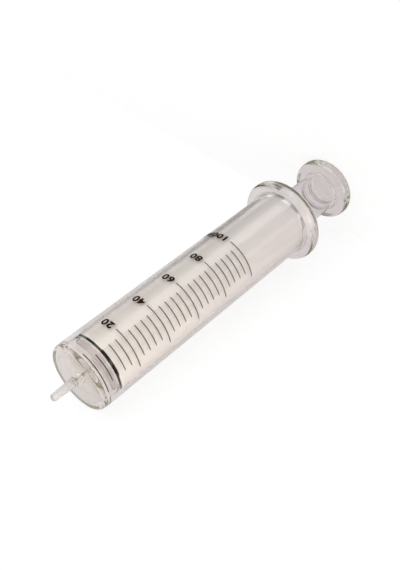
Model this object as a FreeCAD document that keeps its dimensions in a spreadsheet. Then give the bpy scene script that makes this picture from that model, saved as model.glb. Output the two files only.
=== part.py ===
import FreeCAD, Part

import math
import os

import Sketcher

# A 100 mL all-glass syringe with a plain tapered nozzle, pushed home, in millimetres.
# It stands on its thumb knob with the nozzle up. The origin is the centre of the knob's outer face,
# +Z runs along the axis towards the nozzle, and the graduation faces -Y.
# The barrel and its graduation are drawn from the zero mark, the plunger from the knob's outer face.

SIZES = [
    ("capacity_ml", 100, "volume up to the last mark"),
    ("barrel_diameter", 39.0, "outside of the graduated tube"),
    ("barrel_wall", 2.2, "wall of the graduated tube"),
    ("blank_length", 55.0, "from the last mark to the open end"),
    ("front_standout", 3.7, "front shoulder ahead of the zero mark"),
    ("front_dome", 1.3, "rise of the front from its shoulder to the nozzle"),
    ("front_draw", 0.5, "how far the tube draws in at its front"),
    ("front_draw_length", 5.7, "length over which it draws in"),
    ("shoulder_rounding", 2.5, "outer edge of the front"),
    ("inner_front_rounding", 4.0, "inner corner of the front"),
    ("nozzle_length", 14.5, "from the front to the nozzle's end"),
    ("nozzle_end_diameter", 3.97, "small end of the nozzle's cone"),
    ("nozzle_taper", 0.06, "growth of the cone's diameter per length"),
    ("nozzle_bore", 1.5, "channel through the nozzle"),
    ("nozzle_end_rounding", 1.15, "edge of the nozzle's end"),
    ("nozzle_root_rounding", 1.2, "where the nozzle meets the front"),
    ("flange_standout", 6.1, "how far the finger flange stands out from the tube"),
    ("flange_thickness", 7.8, "finger flange"),
    ("flange_rounding", 3.4, "both edges of the flange's rim"),
    ("flange_flat", 0.2, "flat ring between the flange's flare and its rim"),
    ("mouth_rounding", 1.2, "fire-polished edge of the open end"),
    ("running_clearance", 0.04, "radial, between plunger and bore"),
    ("front_gap", 0.3, "between plunger and front when pushed home"),
    ("plunger_wall", 2.0, "wall of the hollow plunger"),
    ("plunger_front_wall", 2.2, "closed front of the plunger"),
    ("crown_radius", 37.2, "domed front of the plunger"),
    ("crown_rounding", 5.5, "edge of the plunger's front"),
    ("inner_crown_rounding", 3.5, "the same edge inside"),
    ("ring_distance", 8.3, "index ring's middle behind the plunger's front"),
    ("ring_width", 1.4, "index ring"),
    ("ring_depth", 0.35, "groove that the index ring fills"),
    ("plunger_standout", 7.6, "plunger's shoulder behind the open end when pushed home"),
    ("plunger_shoulder_rounding", 3.2, "where the plunger turns in to its neck"),
    ("inner_shoulder_rounding", 2.0, "the same edge inside"),
    ("neck_length", 25.9, "from the plunger's shoulder to the knob"),
    ("shoulder_step", 5.11, "how far the plunger steps in to its neck"),
    ("neck_draw", 0.1, "how far the neck draws in towards the knob"),
    ("neck_root_rounding", 1.8, "where the shoulder turns into the neck"),
    ("inner_neck_rounding", 1.5, "the same edge inside"),
    ("knob_diameter", 37.9, "thumb knob"),
    ("knob_thickness", 7.4, "thumb knob"),
    ("knob_rounding", 2.7, "both edges of the knob's rim"),
    ("knob_flare", 2.5, "where the neck flares into the knob"),
    ("knob_floor", 2.8, "glass between the hollow neck and the knob's face"),
    ("neck_end_rounding", 5.0, "rounded end of the hollow neck"),
    ("mark_spacing_ml", 4, "volume from mark to mark"),
    ("long_mark_spacing_ml", 20, "volume from long mark to long mark"),
    ("mark_width", 0.45, "line width of a mark"),
    ("enamel_thickness", 0.08, "how far the fired enamel stands out"),
    ("mark_sweep", 45, "degrees round the tube, short marks"),
    ("long_mark_sweep", 69, "degrees round the tube, long marks"),
]
CUBIC_MM_PER_ML = 1000
FULL_TURN = 360
GRADUATION_FACING = -90  # degrees about Z, so that the middle of every mark faces -Y
TOLERANCE = 0.001

# Sizes that follow from the driving ones
BARREL_RADIUS = "(Sizes.barrel_diameter / 2)"
BORE_RADIUS = "(Sizes.barrel_diameter / 2 - Sizes.barrel_wall)"
PLUNGER_RADIUS = f"({BORE_RADIUS} - Sizes.running_clearance)"
GROOVE_RADIUS = f"({PLUNGER_RADIUS} - Sizes.ring_depth)"
SCALE_LENGTH = f"(Sizes.capacity_ml * {CUBIC_MM_PER_ML} / (pi * {BORE_RADIUS} ^ 2))"
BARREL_REACH = f"({SCALE_LENGTH} + Sizes.blank_length)"
NECK_BASE = "(Sizes.knob_thickness + Sizes.neck_length)"
PLUNGER_LENGTH = f"({NECK_BASE} + Sizes.plunger_standout + {BARREL_REACH})"
RING_MIDDLE = f"({PLUNGER_LENGTH} - Sizes.ring_distance)"
RING_BOTTOM = f"({RING_MIDDLE} - Sizes.ring_width / 2)"
RING_TOP = f"({RING_MIDDLE} + Sizes.ring_width / 2)"


def make_sheet(document):
    """The driving dimensions, one to a row, with what each one is beside it."""
    sheet = document.addObject("Spreadsheet::Sheet", "Sizes")
    for row, (alias, size, meaning) in enumerate(SIZES, start=1):
        sheet.set(f"A{row}", alias)
        sheet.set(f"B{row}", str(size))
        sheet.set(f"C{row}", meaning)
        sheet.setAlias(f"B{row}", alias)
    document.recompute()
    return sheet


def value(owner, expression):
    """The number that an expression over the sheet gives now."""
    return float(owner.evalExpression(expression))


def make_body(document, label, facing=0, height="0"):
    """A body on the axis, turned about it by facing, with its own zero at that height."""
    body = document.addObject("PartDesign::Body", label)
    body.Label = label
    body.AllowCompound = True
    turn = FreeCAD.Rotation(FreeCAD.Vector(0, 0, 1), facing)
    body.Placement = FreeCAD.Placement(FreeCAD.Vector(0, 0, 0), turn)
    body.setExpression("Placement.Base.z", height)
    return body


def origin_part(body, role):
    return next(item for item in body.Origin.OriginFeatures if item.Role == role)


def arc_middle(start, end, radius):
    """The point halfway along the short arc from start to end.

    The arc bulges to the right of the way from start to end, or to the left if radius is negative.
    """
    half_chord = (end - start) * 0.5
    sagitta = abs(radius) - math.sqrt(radius ** 2 - half_chord.Length ** 2)
    right = FreeCAD.Vector(half_chord.y, -half_chord.x, 0).normalize()
    return start + half_chord + right * math.copysign(sagitta, radius)


def draw_outline(body, name, corners):
    """A closed half section in the body's XZ plane, each corner tied to the sheet.

    A corner is (name, radius, height). A fourth entry is the radius of the arc to the next corner.
    """
    sketch = body.newObject("Sketcher::SketchObject", name)
    sketch.AttachmentSupport = [(origin_part(body, "XZ_Plane"), "")]
    sketch.MapMode = "FlatFace"
    points = [
        FreeCAD.Vector(value(sketch, corner[1]), value(sketch, corner[2]), 0)
        for corner in corners
    ]
    ends = []
    for index, corner in enumerate(corners):
        start = points[index]
        end = points[(index + 1) % len(points)]
        if len(corner) == 4:
            middle = arc_middle(start, end, value(sketch, corner[3]))
            sketch.addGeometry(Part.Arc(start, middle, end))
        else:
            sketch.addGeometry(Part.LineSegment(start, end))
        drawn_forwards = (sketch.getPoint(index, 1) - start).Length < TOLERANCE
        ends.append((1, 2) if drawn_forwards else (2, 1))
    for index, corner in enumerate(corners):
        first = ends[index][0]
        last_before = ends[index - 1][1]
        before = (index - 1) % len(corners)
        sketch.addConstraint(Sketcher.Constraint("Coincident", before, last_before, index, first))
        fix_distance(sketch, "DistanceX", f"{corner[0]}_radius", index, first, corner[1])
        fix_distance(sketch, "DistanceY", f"{corner[0]}_height", index, first, corner[2])
        if len(corner) == 4:
            arc_radius = f"abs({corner[3]})"
            size = value(sketch, arc_radius)
            number = sketch.addConstraint(Sketcher.Constraint("Radius", index, size))
            sketch.renameConstraint(number, f"{corner[0]}_arc")
            sketch.setExpression(f"Constraints.{corner[0]}_arc", arc_radius)
    return sketch


def fix_distance(sketch, kind, name, index, point, expression):
    """Ties one end of an edge to the axes: on an axis, or at a distance from the sheet."""
    if expression == "0":
        axis = -2 if kind == "DistanceX" else -1
        sketch.addConstraint(Sketcher.Constraint("PointOnObject", index, point, axis))
        return
    size = value(sketch, expression)
    number = sketch.addConstraint(Sketcher.Constraint(kind, -1, 1, index, point, size))
    sketch.renameConstraint(number, name)
    sketch.setExpression(f"Constraints.{name}", expression)


def revolve(body, sketch, name, sweep=str(FULL_TURN)):
    """Turns a half section about the body's axis, evenly to both sides of the section."""
    turned = body.newObject("PartDesign::Revolution", name)
    turned.Profile = sketch
    turned.ReferenceAxis = (sketch, ["V_Axis"])
    turned.Midplane = True
    turned.setExpression("Angle", sweep)
    body.Document.recompute()
    return turned


def cut_round(body, sketch, name):
    """Cuts a half section out all round the body's axis, and makes sure that it took glass away."""
    before = body.Tip.Shape.Volume
    groove = body.newObject("PartDesign::Groove", name)
    groove.Profile = sketch
    groove.ReferenceAxis = (sketch, ["V_Axis"])
    groove.Midplane = True
    groove.Angle = FULL_TURN
    body.Document.recompute()
    if not groove.Shape.Volume < before:
        raise RuntimeError(f"{name} cuts nothing")
    return groove


def round_edges(body, name, radius, corners):
    """Rounds the circular edges that the named corners of the half section have made."""
    base = body.Tip
    edges = []
    for _, corner_radius, corner_height, *_ in corners:
        wanted = (value(body, corner_radius), value(body, corner_height))
        edges += [
            f"Edge{number}"
            for number, edge in enumerate(base.Shape.Edges, start=1)
            if is_circle_at(edge, *wanted)
        ]
    fillet = body.newObject("PartDesign::Fillet", name)
    fillet.Base = (base, edges)
    fillet.setExpression("Radius", radius)
    body.Document.recompute()
    return fillet


def is_circle_at(edge, radius, height):
    if edge.Degenerated or not isinstance(edge.Curve, Part.Circle):
        return False
    curve = edge.Curve
    return abs(curve.Radius - radius) < TOLERANCE and abs(curve.Center.z - height) < TOLERANCE


def repeat_down(body, feature, name, spacing_ml):
    """Copies a mark from the zero mark to the last one, at an even spacing."""
    pattern = body.newObject("PartDesign::LinearPattern", name)
    pattern.Originals = [feature]
    pattern.Direction = (origin_part(body, "Z_Axis"), [""])
    pattern.Reversed = True
    pattern.Mode = "Extent"
    pattern.setExpression("Length", SCALE_LENGTH)
    pattern.setExpression("Occurrences", f"round(Sizes.capacity_ml / {spacing_ml}) + 1")
    body.Tip = pattern
    body.Document.recompute()
    return pattern


def make_barrel(document):
    """One blown tube with a closed front, a tapered nozzle and a round finger flange."""
    body = make_body(document, "barrel", height=PLUNGER_LENGTH)
    nozzle_bore = "(Sizes.nozzle_bore / 2)"
    nozzle_end = "(Sizes.nozzle_end_diameter / 2)"
    nozzle_root = f"({nozzle_end} + Sizes.nozzle_taper / 2 * Sizes.nozzle_length)"
    front = "(Sizes.front_standout + Sizes.front_dome)"
    front_radius = f"({BARREL_RADIUS} - Sizes.front_draw)"
    dome_chord = f"({front_radius} - {nozzle_root})"
    dome_arc = f"(({dome_chord} ^ 2 + Sizes.front_dome ^ 2) / (2 * Sizes.front_dome))"
    draw_arc = "((Sizes.front_draw_length ^ 2 + Sizes.front_draw ^ 2) / (2 * Sizes.front_draw))"
    flange_radius = f"({BARREL_RADIUS} + Sizes.flange_standout)"
    flange_flare = "(Sizes.flange_standout - Sizes.flange_rounding - Sizes.flange_flat)"
    flange_front = f"(Sizes.flange_thickness - {BARREL_REACH})"
    open_end = f"(0 - {BARREL_REACH})"

    bore_end = ("bore_end", nozzle_bore, f"({front} + Sizes.nozzle_length)")
    tip = ("tip", nozzle_end, f"({front} + Sizes.nozzle_length)")
    root = ("root", nozzle_root, front, f"(0 - {dome_arc})")
    shoulder = ("shoulder", front_radius, "Sizes.front_standout", f"(0 - {draw_arc})")
    tube_top = ("tube_top", BARREL_RADIUS, "(Sizes.front_standout - Sizes.front_draw_length)")
    flare = ("flare", BARREL_RADIUS, flange_front)
    rim_front = ("rim_front", flange_radius, flange_front)
    rim_back = ("rim_back", flange_radius, open_end)
    mouth = ("mouth", BORE_RADIUS, open_end)
    inner_front = ("inner_front", BORE_RADIUS, "Sizes.front_gap")
    bore_start = ("bore_start", nozzle_bore, "Sizes.front_gap")
    outline = [bore_end, tip, root, shoulder, tube_top, flare, rim_front, rim_back, mouth]
    outline += [inner_front, bore_start]

    revolve(body, draw_outline(body, "barrel_section", outline), "blown_barrel")
    round_edges(body, "flange_rim", "Sizes.flange_rounding", [rim_front, rim_back])
    round_edges(body, "flange_root", flange_flare, [flare])
    round_edges(body, "open_mouth", "Sizes.mouth_rounding", [mouth])
    round_edges(body, "front_shoulder", "Sizes.shoulder_rounding", [shoulder])
    round_edges(body, "inside_front", "Sizes.inner_front_rounding", [inner_front])
    round_edges(body, "nozzle_root", "Sizes.nozzle_root_rounding", [root])
    round_edges(body, "nozzle_end", "Sizes.nozzle_end_rounding", [tip])
    return body


def make_plunger(document):
    """One hollow, sealed glass piece: domed front, ground cylinder, neck and thumb knob."""
    body = make_body(document, "plunger")
    crown = "Sizes.crown_radius"
    crown_drop = f"({crown} - sqrt({crown} ^ 2 - {PLUNGER_RADIUS} ^ 2))"
    hollow_radius = f"({PLUNGER_RADIUS} - Sizes.plunger_wall)"
    hollow_crown = "(Sizes.crown_radius - Sizes.plunger_front_wall)"
    hollow_drop = f"({hollow_crown} - sqrt({hollow_crown} ^ 2 - {hollow_radius} ^ 2))"
    hollow_front = f"({PLUNGER_LENGTH} - Sizes.plunger_front_wall)"
    hollow_base = f"({NECK_BASE} + Sizes.plunger_wall)"
    neck_root_radius = f"({PLUNGER_RADIUS} - Sizes.shoulder_step)"
    neck_end_radius = f"({neck_root_radius} - Sizes.neck_draw)"
    knob_radius = "(Sizes.knob_diameter / 2)"

    knob_face = ("knob_face", "0", "0")
    rim_back = ("rim_back", knob_radius, "0")
    rim_front = ("rim_front", knob_radius, "Sizes.knob_thickness")
    neck_end = ("neck_end", neck_end_radius, "Sizes.knob_thickness")
    neck_root = ("neck_root", neck_root_radius, NECK_BASE)
    shoulder = ("shoulder", PLUNGER_RADIUS, NECK_BASE)
    crown_edge = ("crown_edge", PLUNGER_RADIUS, f"({PLUNGER_LENGTH} - {crown_drop})", crown)
    front = ("front", "0", PLUNGER_LENGTH)
    hollow_top = ("hollow_top", "0", hollow_front, f"(0 - {hollow_crown})")
    hollow_crown_edge = ("hollow_crown_edge", hollow_radius, f"({hollow_front} - {hollow_drop})")
    hollow_shoulder = ("hollow_shoulder", hollow_radius, hollow_base)
    hollow_neck = ("hollow_neck", f"({neck_root_radius} - Sizes.plunger_wall)", hollow_base)
    hollow_end = ("hollow_end", f"({neck_end_radius} - Sizes.plunger_wall)", "Sizes.knob_floor")
    hollow_floor = ("hollow_floor", "0", "Sizes.knob_floor")
    outline = [knob_face, rim_back, rim_front, neck_end, neck_root, shoulder, crown_edge, front]
    outline += [hollow_top, hollow_crown_edge, hollow_shoulder, hollow_neck, hollow_end]
    outline += [hollow_floor]

    revolve(body, draw_outline(body, "plunger_section", outline), "blown_plunger")
    round_edges(body, "crown_edge", "Sizes.crown_rounding", [crown_edge])
    round_edges(body, "inside_crown_edge", "Sizes.inner_crown_rounding", [hollow_crown_edge])
    round_edges(body, "plunger_shoulder", "Sizes.plunger_shoulder_rounding", [shoulder])
    round_edges(body, "inside_shoulder", "Sizes.inner_shoulder_rounding", [hollow_shoulder])
    round_edges(body, "neck_root", "Sizes.neck_root_rounding", [neck_root])
    round_edges(body, "inside_neck", "Sizes.inner_neck_rounding", [hollow_neck])
    round_edges(body, "neck_end", "Sizes.neck_end_rounding", [hollow_end])
    round_edges(body, "knob_root", "Sizes.knob_flare", [neck_end])
    round_edges(body, "knob_rim", "Sizes.knob_rounding", [rim_front, rim_back])
    cut_round(body, draw_outline(body, "groove_section", ring_section(BORE_RADIUS)), "ring_groove")
    return body


def ring_section(outer_radius):
    """The index ring's half section, from the bottom of its groove out to outer_radius."""
    return [
        ("inner_bottom", GROOVE_RADIUS, RING_BOTTOM),
        ("outer_bottom", outer_radius, RING_BOTTOM),
        ("outer_top", outer_radius, RING_TOP),
        ("inner_top", GROOVE_RADIUS, RING_TOP),
    ]


def make_index_ring(document):
    """The black fired ring that fills the plunger's groove, flush with the ground cylinder."""
    body = make_body(document, "index_ring")
    revolve(body, draw_outline(body, "ring_section", ring_section(PLUNGER_RADIUS)), "fired_ring")
    return body


def make_graduation(document):
    """Enamel marks fired onto the tube: short ones all the way, and long ones over every fifth."""
    body = make_body(document, "graduation", GRADUATION_FACING, PLUNGER_LENGTH)
    outer_radius = f"({BARREL_RADIUS} + Sizes.enamel_thickness)"
    above = "(Sizes.mark_width / 2)"
    below = "(0 - Sizes.mark_width / 2)"
    kinds = [
        ("short_mark", "Sizes.mark_sweep", "Sizes.mark_spacing_ml"),
        ("long_mark", "Sizes.long_mark_sweep", "Sizes.long_mark_spacing_ml"),
    ]
    for name, sweep, spacing_ml in kinds:
        outline = [
            ("inner_below", BARREL_RADIUS, below),
            ("outer_below", outer_radius, below),
            ("outer_above", outer_radius, above),
            ("inner_above", BARREL_RADIUS, above),
        ]
        sketch = draw_outline(body, f"{name}_section", outline)
        mark = revolve(body, sketch, name, sweep)
        repeat_down(body, mark, f"{name}s", spacing_ml)
    return body


def check(document, bodies):
    """Stops if any object has failed or any piece isn't a sound solid."""
    for item in document.Objects:
        if "Invalid" in item.State or "Error" in item.State:
            raise RuntimeError(f"{item.Name} has failed: {item.State}")
    for body in bodies:
        if body.Shape.isNull() or not body.Shape.isValid():
            raise RuntimeError(f"{body.Label} has no valid shape")


def main():
    document = FreeCAD.newDocument("glass_syringe")
    make_sheet(document)
    bodies = [
        make_barrel(document),
        make_plunger(document),
        make_index_ring(document),
        make_graduation(document),
    ]
    document.recompute()
    check(document, bodies)
    os.makedirs("parts", exist_ok=True)
    for body in bodies:
        body.Shape.exportStep(f"parts/{body.Label}.step")
        box = body.Shape.BoundBox
        print(f"{body.Label}: {len(body.Shape.Solids)} solids, {body.Shape.Volume:.1f} mm3,",
              f"z {box.ZMin:.2f} to {box.ZMax:.2f}, width {box.XLength:.2f}")


main()
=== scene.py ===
import math

import bpy
from mathutils import Matrix, Vector
from mathutils.geometry import interpolate_bezier


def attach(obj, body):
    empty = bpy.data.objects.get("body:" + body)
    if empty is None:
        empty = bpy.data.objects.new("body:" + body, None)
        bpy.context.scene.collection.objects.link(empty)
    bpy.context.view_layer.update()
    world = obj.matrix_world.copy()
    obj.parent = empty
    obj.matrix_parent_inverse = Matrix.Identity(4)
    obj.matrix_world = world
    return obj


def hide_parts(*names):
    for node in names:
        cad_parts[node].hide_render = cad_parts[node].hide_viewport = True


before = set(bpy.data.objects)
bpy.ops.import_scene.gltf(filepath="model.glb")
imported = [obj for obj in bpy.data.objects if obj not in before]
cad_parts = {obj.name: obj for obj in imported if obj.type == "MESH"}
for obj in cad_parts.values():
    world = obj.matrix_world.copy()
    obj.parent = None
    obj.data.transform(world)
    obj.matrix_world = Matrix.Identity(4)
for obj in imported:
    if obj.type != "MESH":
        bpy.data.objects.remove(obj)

# The dressed glass syringe, in metres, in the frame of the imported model: it stands on its thumb knob,
# +Z runs towards the nozzle and the graduation faces -Y.
# Both pieces of glass are turned again here, because clear glass shows every facet and every seam.
# Their sizes repeat those of the part's source.

MM = 0.001

# Plunger, from its knob up
KNOB_RADIUS = 18.95 * MM
KNOB_THICKNESS = 7.4 * MM
KNOB_ROUNDING = 2.7 * MM
KNOB_FLARE = 2.5 * MM
KNOB_FLOOR = 2.8 * MM
NECK_RADIUS = 12.15 * MM
NECK_DRAW = 0.1 * MM
SHOULDER = 33.3 * MM
SHOULDER_ROUNDING = 3.2 * MM
NECK_ROOT_ROUNDING = 1.8 * MM
PLUNGER_RADIUS = 17.26 * MM
PLUNGER_WALL = 2.0 * MM
PLUNGER_FRONT_WALL = 2.2 * MM
RING_BOTTOM = 193.255 * MM
RING_WIDTH = 1.4 * MM
RING_DEPTH = 0.35 * MM
CROWN_RADIUS = 37.2 * MM
# A little smaller than in the source, so that it ends above the ring's groove
CROWN_ROUNDING = 5.0 * MM
INNER_CROWN_ROUNDING = 3.5 * MM
INNER_SHOULDER_ROUNDING = 2.0 * MM
INNER_NECK_ROUNDING = 1.5 * MM
NECK_END_ROUNDING = 5.0 * MM

# Barrel, from its open end up. The plunger's front reaches the zero mark.
BARREL_RADIUS = 19.5 * MM
BORE_RADIUS = 17.3 * MM
OPEN_END = 40.9 * MM
MOUTH_ROUNDING = 1.2 * MM
FLANGE_RADIUS = 25.6 * MM
FLANGE_THICKNESS = 7.8 * MM
FLANGE_ROUNDING = 3.4 * MM
FLANGE_FLARE = 2.5 * MM
ZERO_MARK = 202.255 * MM
MM_PER_ML = 1.06355 * MM
FRONT = ZERO_MARK + 5.0 * MM
FRONT_WALL = 4.7 * MM
FRONT_DOME = 1.3 * MM
DOME_RADIUS = 106.4 * MM
DRAW_START = 7.0 * MM
DRAW_RADIUS = 32.74 * MM
DRAWN_RADIUS = 19.0 * MM
FRONT_ROUNDING = 2.5 * MM
INNER_FRONT_ROUNDING = 4.0 * MM
NOZZLE_LENGTH = 14.5 * MM
NOZZLE_ROOT_RADIUS = 2.42 * MM
NOZZLE_ROOT_ROUNDING = 1.2 * MM
NOZZLE_END_RADIUS = 1.985 * MM
NOZZLE_END_ROUNDING = 1.15 * MM
CHANNEL_RADIUS = 0.75 * MM
ENAMEL_THICKNESS = 0.08 * MM

# Fineness of the turned glass
SEGMENTS = 240
TURN_STEP = math.radians(3)
END_MARGIN = 0.25 * MM
SHARP_ANGLE = math.radians(30)
SAME_PLACE = 1e-7

# Glass
GLASS_IOR = 1.47
GLASS_BODY = (0.6, 0.54, 0.1, 1)
GLASS_DENSITY = 6
CLEAR_TINT = (1.0, 0.99, 0.98, 1)
COOL_TINT = (0.99, 0.99, 1.0, 1)
COOL_TO = 50 * MM
# Painted shade: a near-black olive laid on the rims of flange and knob for the dark edges of thick glass, and
# how far up the knob's rim it reaches
PAINTED_EDGE_SHADE = (0.06, 0.05, 0.01, 1)
KNOB_EDGE_SHADE_TO = 1.2 * MM

# Ground glass. Milkiness is the share of light that it scatters like paper.
CONE_ROUGHNESS = 0.34
CONE_MILKINESS = 0.15
BORE_ROUGHNESS = 0.2
CHANNEL_ROUGHNESS = 0.3
PLUNGER_ROUGHNESS = 0.4
PLUNGER_MILKINESS = 0.92
MILKINESS_FROM_INSIDE = 0.1
# Painted light and shade on the matt skin: greyer towards the knob, lighter and warmer towards the front
FROSTED_BACK_PAINTED_SHADE = (0.82, 0.79, 0.81, 1)
FROSTED_FRONT_PAINTED_LIGHT = (1.0, 0.96, 0.92, 1)
GROUND_FROM = 34 * MM
GROUND_TO = 195 * MM

# Enamel
BROWN_SHADES = (0.012, 0.003, 0.001, 1), (0.035, 0.008, 0.003, 1)
BLACK_SHADES = (0.002, 0.002, 0.002, 1), (0.006, 0.006, 0.007, 1)
BROWN_GRAIN = 900
BLACK_GRAIN = 500

# Numerals beside the long marks
NUMERAL_HEIGHT = 4.1 * MM
FIGURE_SHARE = 0.73
NUMERAL_SPACING = 1.12
NUMERAL_BOLDNESS = 0.0002
NUMERAL_START = math.radians(-49.2)
NUMERAL_STRETCH = 1.19
LABELS = {20: "20", 40: "40", 60: "60", 80: "80", 100: "100ml"}

# The background is cut out to white in the photograph, and its own pale grey shows only through the glass
SEEN_IN_GLASS = (0.56, 0.51, 0.52, 1)
# Clear glass sees a dark room above it, so its edges are dark. What is matt inside the glass gets more light.
DARK_ROOM = (0.12, 0.11, 0.08, 1)
ROOM_LIGHT = (1.0, 0.97, 0.94, 1)

# Stripes of the floor that the tube mirrors as lines of light: azimuth and half width, in degrees
SHINE_BANDS = [(19, 9), (-41, 15), (-101, 8)]
BAND_BLUR = math.radians(4)
BANDS_FROM = 60 * MM

# The ground of the photograph is a plane that touches the flange and the front shoulder
GROUND_FACING = math.radians(-45.5)
GROUND_AT_FLANGE = 25.7 * MM
GROUND_AT_FRONT = 19.6 * MM
STAGE_SIZE = 4.0
FLOOR_GAP = 0.3 * MM

# Lamps
LAMP_AIM = Vector((0, 0, 0.11))
LAMP_DISTANCE = 1.2
LAMP_SIZE = 1.6

# The photograph's camera: where it stands, what it looks at and how far it is rolled
CAMERA_PLACE = Vector((69.99, -363.46, 340.14)) * MM
CAMERA_AIM = Vector((-1.68, 6.57, 113.12)) * MM
CAMERA_ROLL = math.radians(-127.86)
CAMERA_LENS = 49.84
SENSOR_WIDTH = 36

# Light passes many walls of glass on its way
BOUNCES = 128


def curve_between(start, end, radius):
    """Points from start to end, straight or on an arc of that radius.

    The arc bulges to the right of the way, or to the left if the radius is negative.
    """
    if radius == 0:
        return [start, end]
    chord = end - start
    half_turn = math.asin(chord.length / 2 / abs(radius))
    left = Vector((-chord.y, chord.x)).normalized()
    centre = (start + end) / 2 + left * math.copysign(abs(radius) * math.cos(half_turn), radius)
    steps = max(2, math.ceil(2 * half_turn / TURN_STEP))
    turns = [math.copysign(2 * half_turn * step / steps, radius) for step in range(steps + 1)]
    return [centre + Matrix.Rotation(turn, 2) @ (start - centre) for turn in turns]


def shorten(points, length):
    """Takes that length off the end of a curve. Gives the rest and the way it points there."""
    points = list(points)
    way = points[-1] - points[-2]
    while way.length <= length:
        length -= way.length
        points.pop()
        way = points[-1] - points[-2]
    points[-1] = points[-1] - way.normalized() * length
    return points, way.normalized()


def round_corner(before, after, radius):
    """Rounds the corner where two curves meet. Gives the first curve, the round and the second one."""
    turn = (before[-1] - before[-2]).angle(after[1] - after[0])
    # On an arc the way changes with the reach, so both are worked out again
    for _ in range(3):
        reach = radius * math.tan(turn / 2)
        first, way_in = shorten(before, reach)
        second, way_back = shorten(reversed(after), reach)
        turn = way_in.angle(-way_back)
    handle = 4 / 3 * math.tan(turn / 4) * radius
    steps = max(3, math.ceil(turn / TURN_STEP))
    start, end = first[-1], second[-1]
    middle = interpolate_bezier(start, start + way_in * handle, end + way_back * handle, end, steps + 1)
    return first, [Vector(point[:2]) for point in middle], list(reversed(second))


def steady(points):
    """Adds points near both ends of a straight stretch, so that it is shaded as straight."""
    way = points[-1] - points[0]
    if len(points) > 2 or way.length < 4 * END_MARGIN:
        return points
    margin = way.normalized() * END_MARGIN
    return [points[0], points[0] + margin, points[-1] - margin, points[-1]]


def make_outline(corners, closed):
    """A half section as a list of points.

    A corner is (radius, height, rounding) and may end with the radius of the arc to the next corner.
    """
    edges = []
    for here, ahead in zip(corners, corners[1:] + corners[:1] * closed):
        bulge = here[3] if len(here) == 4 else 0
        edges.append(curve_between(Vector(here[:2]), Vector(ahead[:2]), bulge))
    rounds = [[] for _ in edges]
    for index in range(0 if closed else 1, len(edges)):
        rounding = corners[index][2]
        if rounding > 0:
            edges[index - 1], rounds[index], edges[index] = round_corner(
                edges[index - 1], edges[index], rounding)
    points = [point for middle, edge in zip(rounds, edges) for point in middle + steady(edge)]
    pairs = zip(points, points[1:] + points[:1])
    return [point for point, ahead in pairs if (ahead - point).length > SAME_PLACE]


def barrel_outline():
    """The tube with its flange, closed front and nozzle, from the mouth up and back down the bore."""
    flange_top = OPEN_END + FLANGE_THICKNESS
    corners = [
        (BORE_RADIUS, OPEN_END, MOUTH_ROUNDING),
        (FLANGE_RADIUS, OPEN_END, FLANGE_ROUNDING),
        (FLANGE_RADIUS, flange_top, FLANGE_ROUNDING),
        (BARREL_RADIUS, flange_top, FLANGE_FLARE),
        (BARREL_RADIUS, FRONT - DRAW_START, 0, DRAW_RADIUS),
        (DRAWN_RADIUS, FRONT - FRONT_DOME, FRONT_ROUNDING, DOME_RADIUS),
        (NOZZLE_ROOT_RADIUS, FRONT, NOZZLE_ROOT_ROUNDING),
        (NOZZLE_END_RADIUS, FRONT + NOZZLE_LENGTH, NOZZLE_END_ROUNDING),
        (CHANNEL_RADIUS, FRONT + NOZZLE_LENGTH, 0),
        (CHANNEL_RADIUS, FRONT - FRONT_WALL, 0),
        (BORE_RADIUS, FRONT - FRONT_WALL, INNER_FRONT_ROUNDING),
    ]
    return make_outline(corners, closed=True)


def crown_drop(crown_radius, radius):
    """How far a domed front lies below its middle at that radius."""
    return crown_radius - math.sqrt(crown_radius ** 2 - radius ** 2)


def plunger_outline():
    """The outer skin, from the knob's face up to the middle of the domed front."""
    ring_top = RING_BOTTOM + RING_WIDTH
    groove_radius = PLUNGER_RADIUS - RING_DEPTH
    crown_edge = ZERO_MARK - crown_drop(CROWN_RADIUS, PLUNGER_RADIUS)
    corners = [
        (0, 0, 0),
        (KNOB_RADIUS, 0, KNOB_ROUNDING),
        (KNOB_RADIUS, KNOB_THICKNESS, KNOB_ROUNDING),
        (NECK_RADIUS - NECK_DRAW, KNOB_THICKNESS, KNOB_FLARE),
        (NECK_RADIUS, SHOULDER, NECK_ROOT_ROUNDING),
        (PLUNGER_RADIUS, SHOULDER, SHOULDER_ROUNDING),
        (PLUNGER_RADIUS, RING_BOTTOM, 0),
        (groove_radius, RING_BOTTOM, 0),
        (groove_radius, ring_top, 0),
        (PLUNGER_RADIUS, ring_top, 0),
        (PLUNGER_RADIUS, crown_edge, CROWN_ROUNDING, CROWN_RADIUS),
        (0, ZERO_MARK, 0),
    ]
    return make_outline(corners, closed=False)


def hollow_outline():
    """The skin of the sealed hollow inside the plunger, from its front down to the knob."""
    top = ZERO_MARK - PLUNGER_FRONT_WALL
    inner_crown = CROWN_RADIUS - PLUNGER_FRONT_WALL
    radius = PLUNGER_RADIUS - PLUNGER_WALL
    neck_radius = NECK_RADIUS - PLUNGER_WALL
    corners = [
        (0, top, 0, -inner_crown),
        (radius, top - crown_drop(inner_crown, radius), INNER_CROWN_ROUNDING),
        (radius, SHOULDER + PLUNGER_WALL, INNER_SHOULDER_ROUNDING),
        (neck_radius, SHOULDER + PLUNGER_WALL, INNER_NECK_ROUNDING),
        (neck_radius - NECK_DRAW, KNOB_FLOOR, NECK_END_ROUNDING),
        (0, KNOB_FLOOR, 0),
    ]
    return make_outline(corners, closed=False)


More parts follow.
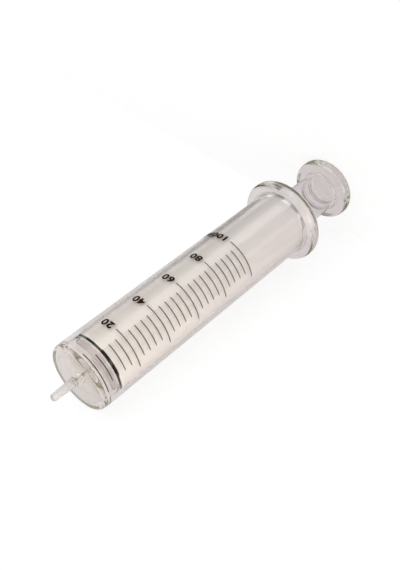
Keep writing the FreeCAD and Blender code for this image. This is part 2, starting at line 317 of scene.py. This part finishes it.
def turn_glass(name, node, outlines, material):
    """A piece of glass turned from outlines that keep the glass on their left, shown for its CAD node."""
    vertices = []
    faces = []
    for outline, closed in outlines:
        rings = []
        for place in outline:
            count = SEGMENTS if place.x > SAME_PLACE else 1
            rings.append([len(vertices) + step for step in range(count)])
            for step in range(count):
                angle = 2 * math.pi * step / SEGMENTS
                vertices.append((place.x * math.cos(angle), place.x * math.sin(angle), place.y))
        pairs = list(zip(rings, rings[1:]))
        if closed:
            pairs.append((rings[-1], rings[0]))
        for below, above in pairs:
            for step in range(SEGMENTS):
                ahead = step + 1
                around = [below[step % len(below)], below[ahead % len(below)],
                          above[ahead % len(above)], above[step % len(above)]]
                # A ring that is a single point makes triangles
                faces.append(list(dict.fromkeys(around)))
    mesh = bpy.data.meshes.new(name)
    mesh.from_pydata(vertices, [], faces)
    mesh.materials.append(material)
    shade_smooth(mesh)
    mesh.set_sharp_from_angle(angle=SHARP_ANGLE)
    piece = show(name, mesh)
    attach(piece, node)
    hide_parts(node)


def shade_smooth(mesh):
    for polygon in mesh.polygons:
        polygon.use_smooth = True


def show(name, contents):
    """Puts a mesh, curve, lamp or camera into the scene."""
    placed = bpy.data.objects.new(name, contents)
    bpy.context.scene.collection.objects.link(placed)
    return placed


def grey(level):
    return (level, level, level, 1)


def new_material(name):
    """A node material with its Principled shader, as (material, tree, shader)."""
    material = bpy.data.materials.new(name)
    material.use_nodes = True
    tree = material.node_tree
    return material, tree, tree.nodes["Principled BSDF"]


def feed(tree, given, socket):
    """Sets the socket to a value, or links it to another node's socket."""
    if isinstance(given, bpy.types.NodeSocket):
        tree.links.new(given, socket)
    else:
        socket.default_value = given


def add_node(tree, kind, settings=None, **inputs):
    """A node of that kind, with its properties from settings and its sockets from inputs."""
    node = tree.nodes.new(kind)
    for key, setting in (settings or {}).items():
        setattr(node, key, setting)
    for key, given in inputs.items():
        feed(tree, given, node.inputs[key.replace("_", " ")])
    return node


def blend(tree, factor, first, second):
    """A colour that passes from first to second."""
    mix = add_node(tree, "ShaderNodeMix", {"data_type": "RGBA"}, Factor=factor)
    feed(tree, first, mix.inputs[6])
    feed(tree, second, mix.inputs[7])
    return mix.outputs[2]


def noise(tree, place, scale, detail=2.0):
    """Soft noise over the object's own coordinates, from 0 to 1."""
    made = add_node(tree, "ShaderNodeTexNoise", Vector=place, Scale=scale, Detail=detail)
    return made.outputs["Fac"]


def span(tree, given, low, high, out_low, out_high):
    """Maps given from low..high to out_low..out_high, and holds it there outside them."""
    made = add_node(tree, "ShaderNodeMapRange", Value=given, From_Min=low, From_Max=high,
                    To_Min=out_low, To_Max=out_high)
    return made.outputs["Result"]


def rise(tree, given, middle, half_width):
    """Passes from 0 to 1 round that middle."""
    return span(tree, given, middle - half_width, middle + half_width, 0.0, 1.0)


def fall(tree, given, middle, half_width):
    """Passes from 1 to 0 round that middle."""
    return span(tree, given, middle - half_width, middle + half_width, 1.0, 0.0)


def reckon(tree, operation, first, second):
    """One sum on two sockets or numbers."""
    made = add_node(tree, "ShaderNodeMath", {"operation": operation})
    feed(tree, first, made.inputs[0])
    feed(tree, second, made.inputs[1])
    return made.outputs[0]


def bump(tree, height, strength, distance):
    """A surface direction that follows small heights."""
    made = add_node(tree, "ShaderNodeBump", Height=height, Strength=strength, Distance=distance)
    return made.outputs["Normal"]


def own_place(tree):
    """The place on the object, in its own coordinates."""
    return add_node(tree, "ShaderNodeTexCoord").outputs["Object"]


def height_of(tree, place):
    return add_node(tree, "ShaderNodeSeparateXYZ", Vector=place).outputs["Z"]


def radius_of(tree, place):
    """Distance from the syringe's axis."""
    flat = add_node(tree, "ShaderNodeVectorMath", {"operation": "MULTIPLY"})
    tree.links.new(place, flat.inputs[0])
    flat.inputs[1].default_value = (1, 1, 0)
    length = add_node(tree, "ShaderNodeVectorMath", {"operation": "LENGTH"})
    tree.links.new(flat.outputs[0], length.inputs[0])
    return length.outputs["Value"]


def finish_glass(tree, shader, place, colour, roughness, milkiness):
    """Slightly wavy glass. Roughness and milkiness, the share that scatters light, are sockets."""
    body = add_node(tree, "ShaderNodeVolumeAbsorption", Color=GLASS_BODY, Density=GLASS_DENSITY)
    tree.links.new(body.outputs["Volume"], tree.nodes["Material Output"].inputs["Volume"])
    cloud = span(tree, noise(tree, place, 120), 0.3, 0.7, 0.005, 0.03)
    waviness = bump(tree, noise(tree, place, 25, 0.0), 0.04, 0.1 * MM)
    shader.inputs["IOR"].default_value = GLASS_IOR
    feed(tree, colour, shader.inputs["Base Color"])
    feed(tree, reckon(tree, "ADD", roughness, cloud), shader.inputs["Roughness"])
    feed(tree, reckon(tree, "SUBTRACT", 1.0, milkiness), shader.inputs["Transmission Weight"])
    feed(tree, waviness, shader.inputs["Normal"])


def let_lamps_through(tree, shader):
    """Lets the light of the lamps straight through, which Cycles would stop at clear glass."""
    path = add_node(tree, "ShaderNodeLightPath")
    clear = add_node(tree, "ShaderNodeBsdfTransparent", Color=grey(1))
    mix = add_node(tree, "ShaderNodeMixShader", Fac=path.outputs["Is Shadow Ray"])
    tree.links.new(shader.outputs["BSDF"], mix.inputs[1])
    tree.links.new(clear.outputs["BSDF"], mix.inputs[2])
    tree.links.new(mix.outputs["Shader"], tree.nodes["Material Output"].inputs["Surface"])


def paint_edge_shade(tree, place, height, colour, radius_from, height_to):
    """Painted shade: darkens the glass's colour towards a near-black olive at the outer edge of a thick disc,
    up to a given height, a little unevenly, for the dark rim that thick glass shows.
    """
    outside = rise(tree, radius_of(tree, place), radius_from + 0.25 * MM, 0.25 * MM)
    below = fall(tree, height, height_to, 1 * MM)
    uneven = span(tree, noise(tree, place, 70, 1.0), 0.4, 0.6, 0.2, 1.0)
    edge = reckon(tree, "MULTIPLY", reckon(tree, "MULTIPLY", outside, below), uneven)
    return blend(tree, edge, colour, PAINTED_EDGE_SHADE)


def barrel_glass():
    """Clear blown glass, ground matt in its bore and on the nozzle's cone."""
    material, tree, shader = new_material("barrel_glass")
    place = own_place(tree)
    height = height_of(tree, place)
    radius = radius_of(tree, place)
    cone = rise(tree, height, FRONT + 2 * MM, 1 * MM)
    inside = fall(tree, radius, (BARREL_RADIUS + BORE_RADIUS) / 2, 0.5 * MM)
    behind_ring = fall(tree, height, RING_BOTTOM - 1.5 * MM, 0.5 * MM)
    bore = reckon(tree, "MULTIPLY", inside, behind_ring)
    cone_roughness = reckon(tree, "MULTIPLY", cone, CONE_ROUGHNESS)
    bore_roughness = reckon(tree, "MULTIPLY", bore, BORE_ROUGHNESS)
    channel_roughness = span(tree, radius, 1.1 * MM, 1.3 * MM, CHANNEL_ROUGHNESS, 0.0)
    roughness = reckon(tree, "ADD", cone_roughness, bore_roughness)
    roughness = reckon(tree, "MAXIMUM", roughness, channel_roughness)
    milkiness = reckon(tree, "MULTIPLY", cone, CONE_MILKINESS)
    colour = blend(tree, fall(tree, height, COOL_TO, 2 * MM), CLEAR_TINT, COOL_TINT)
    flange_middle = OPEN_END + FLANGE_THICKNESS / 2
    # Painted shade on the flange's rim, on its half towards the open end
    colour = paint_edge_shade(tree, place, height, colour, FLANGE_RADIUS - 1 * MM, flange_middle)
    finish_glass(tree, shader, place, colour, roughness, milkiness)
    shader.inputs["Specular IOR Level"].default_value = 1.0
    let_lamps_through(tree, shader)
    return material


def plunger_glass():
    """Blown glass, ground matt on the skin that runs in the bore, and clear inside and at neck and knob.

    The matt skin scatters the light that falls on it, and lets through more of what comes from inside. Its
    colour carries painted shade, greyer towards the knob, and painted light, lighter and warmer towards the
    front.
    """
    material, tree, shader = new_material("plunger_glass")
    place = own_place(tree)
    height = height_of(tree, place)
    rising = rise(tree, height, GROUND_FROM, 1 * MM)
    falling = fall(tree, height, GROUND_TO, 1 * MM)
    skin = rise(tree, radius_of(tree, place), BORE_RADIUS - 1 * MM, 0.5 * MM)
    ground = reckon(tree, "MULTIPLY", reckon(tree, "MULTIPLY", rising, falling), skin)
    from_inside = add_node(tree, "ShaderNodeNewGeometry").outputs["Backfacing"]
    share = span(tree, from_inside, 0.0, 1.0, PLUNGER_MILKINESS, MILKINESS_FROM_INSIDE)
    milkiness = reckon(tree, "MULTIPLY", ground, share)
    # Painted light and shade: the matt skin lighter and warmer towards the front, greyer towards the knob
    painted_light_towards_front = span(tree, height, GROUND_FROM, GROUND_TO, 0.0, 1.0)
    frosted_painted_light_and_shade = blend(tree, painted_light_towards_front, FROSTED_BACK_PAINTED_SHADE, FROSTED_FRONT_PAINTED_LIGHT)
    clear = blend(tree, rising, COOL_TINT, CLEAR_TINT)
    colour = blend(tree, ground, clear, frosted_painted_light_and_shade)
    # Painted shade on the knob's rim, near its face
    colour = paint_edge_shade(tree, place, height, colour, KNOB_RADIUS - 1.5 * MM, KNOB_EDGE_SHADE_TO)
    roughness = reckon(tree, "MULTIPLY", ground, PLUNGER_ROUGHNESS)
    finish_glass(tree, shader, place, colour, roughness, milkiness)
    return material


def enamel(name, shades, grain):
    """Fired enamel, a little uneven in colour and gloss."""
    material, tree, shader = new_material(name)
    place = own_place(tree)
    patches = noise(tree, place, grain, 3.0)
    feed(tree, blend(tree, patches, *shades), shader.inputs["Base Color"])
    shader.inputs["Specular IOR Level"].default_value = 0.05
    feed(tree, span(tree, patches, 0.3, 0.7, 0.4, 0.6), shader.inputs["Roughness"])
    feed(tree, bump(tree, patches, 0.2, 0.02 * MM), shader.inputs["Normal"])
    return material


def wrap_numeral(name, text, height, material):
    """Printed figures that lie on the tube, reading round it with the nozzle up."""
    curve = bpy.data.curves.new(name + "_outline", "FONT")
    curve.body = text
    curve.size = NUMERAL_HEIGHT / FIGURE_SHARE
    curve.space_character = NUMERAL_SPACING
    curve.offset = NUMERAL_BOLDNESS
    curve.extrude = ENAMEL_THICKNESS / 2
    curve.align_y = "CENTER"
    curve.resolution_u = 6
    drawn = show(name + "_outline", curve)
    depsgraph = bpy.context.evaluated_depsgraph_get()
    mesh = bpy.data.meshes.new_from_object(drawn.evaluated_get(depsgraph))
    bpy.data.objects.remove(drawn)
    for vertex in mesh.vertices:
        angle = NUMERAL_START + vertex.co.x * NUMERAL_STRETCH / BARREL_RADIUS
        radius = BARREL_RADIUS + ENAMEL_THICKNESS / 2 + vertex.co.z
        vertex.co = (radius * math.cos(angle), radius * math.sin(angle), height + vertex.co.y)
    mesh.name = name
    mesh.materials.append(material)
    piece = show(name, mesh)
    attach(piece, "barrel")


def by_ray(tree, camera, gloss, glass, other):
    """A colour that depends on where the ray comes from: the camera, a glossy surface or glass.

    A ray that has passed through glass counts as glossy too, so glass comes after gloss.
    """
    path = add_node(tree, "ShaderNodeLightPath")
    colour = blend(tree, path.outputs["Is Glossy Ray"], other, gloss)
    colour = blend(tree, path.outputs["Is Transmission Ray"], colour, glass)
    return blend(tree, path.outputs["Is Camera Ray"], colour, camera)


def floor_bands(tree):
    """White stripes that run out from the syringe, to be seen as bright lines along the tube."""
    place = own_place(tree)
    parts = add_node(tree, "ShaderNodeSeparateXYZ", Vector=place)
    azimuth = reckon(tree, "ARCTAN2", parts.outputs["Y"], parts.outputs["X"])
    bands = 0.0
    for middle, half_width in SHINE_BANDS:
        aside = reckon(tree, "ABSOLUTE", reckon(tree, "SUBTRACT", azimuth, math.radians(middle)), 0.0)
        band = fall(tree, aside, math.radians(half_width), BAND_BLUR / 2)
        bands = reckon(tree, "ADD", bands, band)
    away = rise(tree, radius_of(tree, place), BANDS_FROM, 10 * MM)
    return reckon(tree, "MULTIPLY", bands, away)


def white_ground(name, gloss, banded=False, see_through_back=False):
    """A white surface that keeps the object's shadow and shows as white to camera and glass."""
    material, tree, shader = new_material(name)
    tree.nodes.remove(shader)
    glass = SEEN_IN_GLASS
    if banded:
        bands = floor_bands(tree)
        away = span(tree, radius_of(tree, own_place(tree)), BANDS_FROM, 2 * BANDS_FROM, 0.0, 1.0)
        gloss = blend(tree, bands, gloss, grey(1))
        glass = blend(tree, bands, blend(tree, away, glass, grey(0.05)), grey(1))
    paper = by_ray(tree, camera=grey(0.2), gloss=grey(0.2), glass=grey(0.2), other=grey(0.8))
    diffuse = add_node(tree, "ShaderNodeBsdfDiffuse", Color=paper)
    glow = by_ray(tree, camera=grey(0.84), gloss=gloss, glass=glass, other=grey(0))
    emission = add_node(tree, "ShaderNodeEmission", Color=glow)
    surface = add_node(tree, "ShaderNodeAddShader")
    tree.links.new(diffuse.outputs[0], surface.inputs[0])
    tree.links.new(emission.outputs[0], surface.inputs[1])
    if see_through_back:
        clear = add_node(tree, "ShaderNodeBsdfTransparent")
        side = add_node(tree, "ShaderNodeNewGeometry")
        front = surface
        surface = add_node(tree, "ShaderNodeMixShader")
        tree.links.new(side.outputs["Backfacing"], surface.inputs[0])
        tree.links.new(front.outputs[0], surface.inputs[1])
        tree.links.new(clear.outputs[0], surface.inputs[2])
    tree.links.new(surface.outputs[0], tree.nodes["Material Output"].inputs["Surface"])
    return material


def make_plane(name, corners, material):
    mesh = bpy.data.meshes.new(name)
    mesh.from_pydata(corners, [], [tuple(range(len(corners)))])
    mesh.materials.append(material)
    show(name, mesh)


def make_stage():
    """A floor under the knob, and the ground that the syringe lies against in the photograph."""
    half = STAGE_SIZE / 2
    floor = [(x, y, -FLOOR_GAP) for x, y in ((-half, -half), (half, -half), (half, half), (-half, half))]
    make_plane("floor", floor, white_ground("floor_white", grey(0.05), banded=True))

    facing = Vector((math.cos(GROUND_FACING), math.sin(GROUND_FACING), 0))
    along = Vector((-facing.y, facing.x, 0))
    flange_middle = OPEN_END + FLANGE_THICKNESS / 2
    lean = (GROUND_AT_FLANGE - GROUND_AT_FRONT) / (ZERO_MARK - flange_middle)
    corners = []
    for side, height in ((-half, 0), (half, 0), (half, half), (-half, half)):
        distance = GROUND_AT_FLANGE - lean * (height - flange_middle)
        corners.append(-facing * distance + along * side + Vector((0, 0, height)))
    make_plane("ground", corners, white_ground("ground_white", grey(0.6), see_through_back=True))


def aim(place, target):
    """Stands at place and looks at target."""
    turn = (target - place).to_track_quat("-Z", "Y").to_matrix().to_4x4()
    return Matrix.Translation(place) @ turn


def make_camera():
    """The photograph's camera, fitted to the ends of the marks."""
    camera = show("camera", bpy.data.cameras.new("camera"))
    camera.data.lens = CAMERA_LENS
    camera.data.sensor_width = SENSOR_WIDTH
    camera.data.clip_start = 0.01
    camera.matrix_world = aim(CAMERA_PLACE, CAMERA_AIM) @ Matrix.Rotation(CAMERA_ROLL, 4, "Z")
    bpy.context.scene.camera = camera


def make_lamp(name, direction, watts, colour):
    """A round softbox in that direction. Clear glass shows its reflection, but not the lamp itself."""
    lamp = bpy.data.lights.new(name, "AREA")
    lamp.shape = "DISK"
    lamp.size = LAMP_SIZE
    lamp.energy = watts
    lamp.color = colour
    placed = show(name, lamp)
    placed.matrix_world = aim(LAMP_AIM + Vector(direction).normalized() * LAMP_DISTANCE, LAMP_AIM)
    placed.visible_transmission = False


def make_light():
    """A white studio with two softboxes, a white one and a warmer one."""
    world = bpy.data.worlds.new("studio")
    world.use_nodes = True
    tree = world.node_tree
    scattered = add_node(tree, "ShaderNodeLightPath").outputs["Diffuse Depth"]
    above = blend(tree, reckon(tree, "MINIMUM", scattered, 1.0), DARK_ROOM, ROOM_LIGHT)
    room = by_ray(tree, camera=grey(1), gloss=grey(0.2), glass=above, other=grey(0.45))
    feed(tree, room, tree.nodes["Background"].inputs["Color"])
    bpy.context.scene.world = world
    make_lamp("key_softbox", (0.9, -0.4, 0.15), 10, (1, 1, 1))
    make_lamp("fill_softbox", (-0.75, -0.6, 0.35), 20, (1, 0.94, 0.89))


def main():
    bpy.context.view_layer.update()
    brown = enamel("brown_enamel", BROWN_SHADES, BROWN_GRAIN)
    turn_glass("blown_barrel", "barrel", [(barrel_outline(), True)], barrel_glass())
    skins = [(plunger_outline(), False), (hollow_outline(), False)]
    turn_glass("blown_plunger", "plunger", skins, plunger_glass())
    finishes = {
        "index_ring": enamel("black_enamel", BLACK_SHADES, BLACK_GRAIN),
        "graduation": brown,
    }
    for name, material in finishes.items():
        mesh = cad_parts[name].data
        mesh.materials.clear()
        mesh.materials.append(material)
        shade_smooth(mesh)
    for volume, text in LABELS.items():
        wrap_numeral(f"numeral_{volume}", text, ZERO_MARK - volume * MM_PER_ML, brown)
    make_stage()
    make_light()
    make_camera()
    scene = bpy.context.scene
    scene.cycles.max_bounces = BOUNCES
    scene.cycles.transmission_bounces = BOUNCES
    scene.cycles.glossy_bounces = BOUNCES
    scene.view_settings.view_transform = "Standard"


main()
